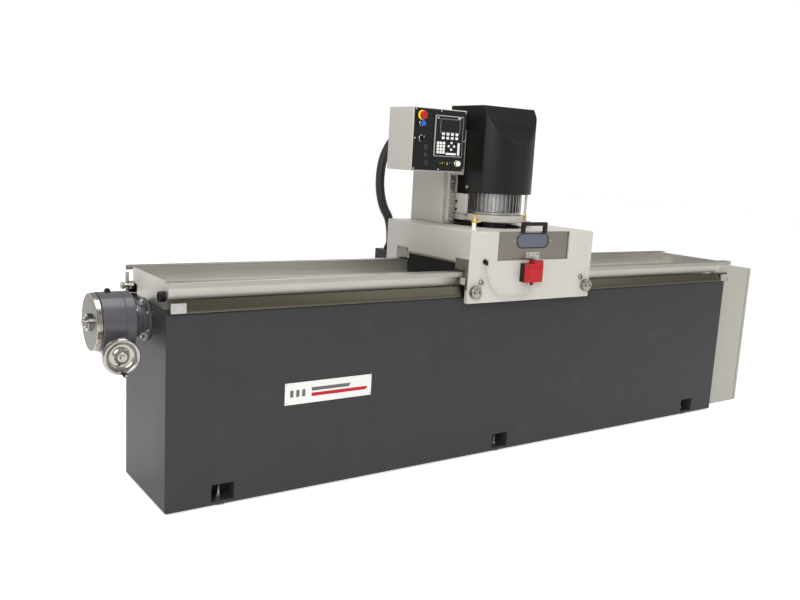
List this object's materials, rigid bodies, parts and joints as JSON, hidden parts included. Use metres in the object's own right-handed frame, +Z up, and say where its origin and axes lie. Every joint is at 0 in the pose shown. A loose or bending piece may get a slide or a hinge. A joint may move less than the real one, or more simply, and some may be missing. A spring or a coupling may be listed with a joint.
{
  "type": "surface grinder",
  "caption": "Long travelling-head surface grinder: cup-wheel head on a carriage over a tilting magnetic chuck in a coolant trough, with tilt handwheel, guard door and end cabinet.",
  "frame": {"origin": "on the floor under the middle of the whole machine", "axes": "+X along the bed away from the tilt handwheel, +Y to the rear, +Z up"},
  "size_m": [3.786, 0.7914, 1.583],
  "materials": {
    "bed_paint": "semi-gloss dark grey paint",
    "gear_paint": "glossy mid grey paint",
    "cable_sheath": "smooth light grey sheath",
    "grey_paint": "satin warm light grey paint",
    "cabinet_paint": "satin grey-beige paint",
    "stainless": "brushed",
    "guard_sheet": "polished, darkly reflecting",
    "bright_steel": "ground",
    "dark_steel": "oiled",
    "machined_iron": "turned",
    "chrome": "polished",
    "brass": "turned",
    "rubber": "matt",
    "black_plastic": "matt",
    "panel_grey": "matt",
    "red_plastic": "gloss",
    "blue_plastic": "gloss",
    "cream_plastic": "gloss",
    "tinted_glass": "clear",
    "abrasive": "granular"
  },
  "bodies": {
    "bed": {"bed_walls": "bed_paint", "bed_frame": "bed_paint", "levelling_pockets": "bed_paint", "levelling_feet": "dark_steel", "travel_rails": "bright_steel", "travel_rack": "dark_steel", "way_guards": "guard_sheet", "guard_stops": "bright_steel", "trough_shell": "stainless", "trough_rims": "stainless", "end_fasteners": "bright_steel", "badge_plate": "stainless", "bed_glands": "black_plastic", "gear_case": "gear_paint", "trunnion_bearings": "brass", "cabinet_body": "cabinet_paint", "cabinet_electrics": "panel_grey"},
    "chuck": {"chuck_carrier": "dark_steel", "magnetic_chuck": "bright_steel", "tilt_shafts": "bright_steel", "tilt_dial": "chrome"},
    "handwheel": {"worm_shaft": "dark_steel", "handwheel": "chrome"},
    "crank_grip": {"crank_grip": "black_plastic"},
    "cabinet_door": {"cabinet_door": "cabinet_paint"},
    "door_latch": {"door_latch": "black_plastic"},
    "carriage": {"carriage_top": "grey_paint", "carriage_front": "grey_paint", "carriage_skirts": "grey_paint", "carriage_shoes": "bright_steel", "wiper_brackets": "stainless", "splash_curtains": "rubber", "guide_adjusters": "bright_steel", "travel_gearmotor": "dark_steel", "column": "grey_paint", "control_box": "grey_paint", "control_panel": "black_plastic", "display_unit": "panel_grey", "interlock_switch": "red_plastic", "interlock_cable": "cable_sheath", "conduit_hose": "rubber", "carriage_glands": "black_plastic", "coolant_valve": "brass"},
    "travel_pinion": {"travel_pinion": "dark_steel"},
    "tap_lever": {"tap_lever": "brass"},
    "guard_door": {"door_panel": "stainless", "door_window": "tinted_glass", "door_handle": "black_plastic", "interlock_key": "bright_steel"},
    "estop": {"estop_head": "red_plastic"},
    "blue_button": {"blue_button": "blue_plastic"},
    "cream_button": {"cream_button": "cream_plastic"},
    "selector": {"selector_knob": "black_plastic"},
    "head": {"head_saddle": "grey_paint", "spindle_motor": "machined_iron", "motor_cover": "black_plastic", "coolant_fittings": "brass"},
    "feed_screw": {"feed_screw": "bright_steel"},
    "spindle": {"spindle_shaft": "bright_steel", "grinding_wheel": "abrasive"}
  },
  "joints": [
    {"name": "carriage_travel", "type": "slide", "parent": "bed", "child": "carriage", "axis": [1, 0, 0], "range_m": [-1.25, 1.08]},
    {"name": "travel_pinion_spin", "type": "hinge", "parent": "carriage", "child": "travel_pinion", "pos_m": [-0.011, 0.16875, 0.684], "axis": [0, 1, 0], "range_deg": [-2579, 2985]},
    {"name": "guard_lift", "type": "slide", "parent": "carriage", "child": "guard_door", "axis": [0, 0, 1], "range_m": [0, 0.12]},
    {"name": "head_feed", "type": "slide", "parent": "carriage", "child": "head", "axis": [0, 0, 1], "range_m": [-0.03, 0.075]},
    {"name": "feed_screw_turn", "type": "hinge", "parent": "carriage", "child": "feed_screw", "pos_m": [-0.011, 0.15175, 1.3], "axis": [0, 0, 1], "range_deg": [-2701, 1081]},
    {"name": "spindle_spin", "type": "hinge", "parent": "head", "child": "spindle", "pos_m": [-0.011, -0.07425, 0.89], "axis": [0, 0, 1], "continuous": true},
    {"name": "estop_press", "type": "slide", "parent": "carriage", "child": "estop", "axis": [0, 1, 0], "range_m": [0, 0.005], "stiffness_N_per_m": 600},
    {"name": "blue_press", "type": "slide", "parent": "carriage", "child": "blue_button", "axis": [0, 1, 0], "range_m": [0, 0.004], "stiffness_N_per_m": 400},
    {"name": "cream_press", "type": "slide", "parent": "carriage", "child": "cream_button", "axis": [0, 1, 0], "range_m": [0, 0.004], "stiffness_N_per_m": 400},
    {"name": "selector_turn", "type": "hinge", "parent": "carriage", "child": "selector", "pos_m": [-0.482, -0.12425, 1.417], "axis": [0, 1, 0], "range_deg": [-45, 45]},
    {"name": "tap_turn", "type": "hinge", "parent": "carriage", "child": "tap_lever", "pos_m": [-0.307, -0.30025, 1.095], "axis": [0, 0, 1], "range_deg": [0, 90]},
    {"name": "chuck_tilt", "type": "hinge", "parent": "bed", "child": "chuck", "pos_m": [-0.071, -0.07425, 0.69], "axis": [1, 0, 0], "range_deg": [-90, 90]},
    {"name": "handwheel_turn", "type": "hinge", "parent": "bed", "child": "handwheel", "pos_m": [-1.801, -0.07425, 0.595], "axis": [0, 1, 0], "range_deg": [-4681, 4681]},
    {"name": "crank_grip_spin", "type": "hinge", "parent": "handwheel", "child": "crank_grip", "pos_m": [-1.801, -0.27225, 0.54], "axis": [0, 1, 0], "continuous": true},
    {"name": "cabinet_door_swing", "type": "hinge", "parent": "bed", "child": "cabinet_door", "pos_m": [1.859, 0.16175, 0.4], "axis": [0, 0, 1], "range_deg": [0, 110]},
    {"name": "latch_turn", "type": "hinge", "parent": "cabinet_door", "child": "door_latch", "pos_m": [1.869, -0.20025, 0.42], "axis": [1, 0, 0], "range_deg": [0, 90]}
  ],
  "couplings": [
    {"joint": "travel_pinion_spin", "follows": "carriage_travel", "rad_per_m": -41.667},
    {"joint": "feed_screw_turn", "follows": "head_feed", "rad_per_m": -628.32},
    {"joint": "handwheel_turn", "follows": "chuck_tilt", "ratio": -52}
  ]
}
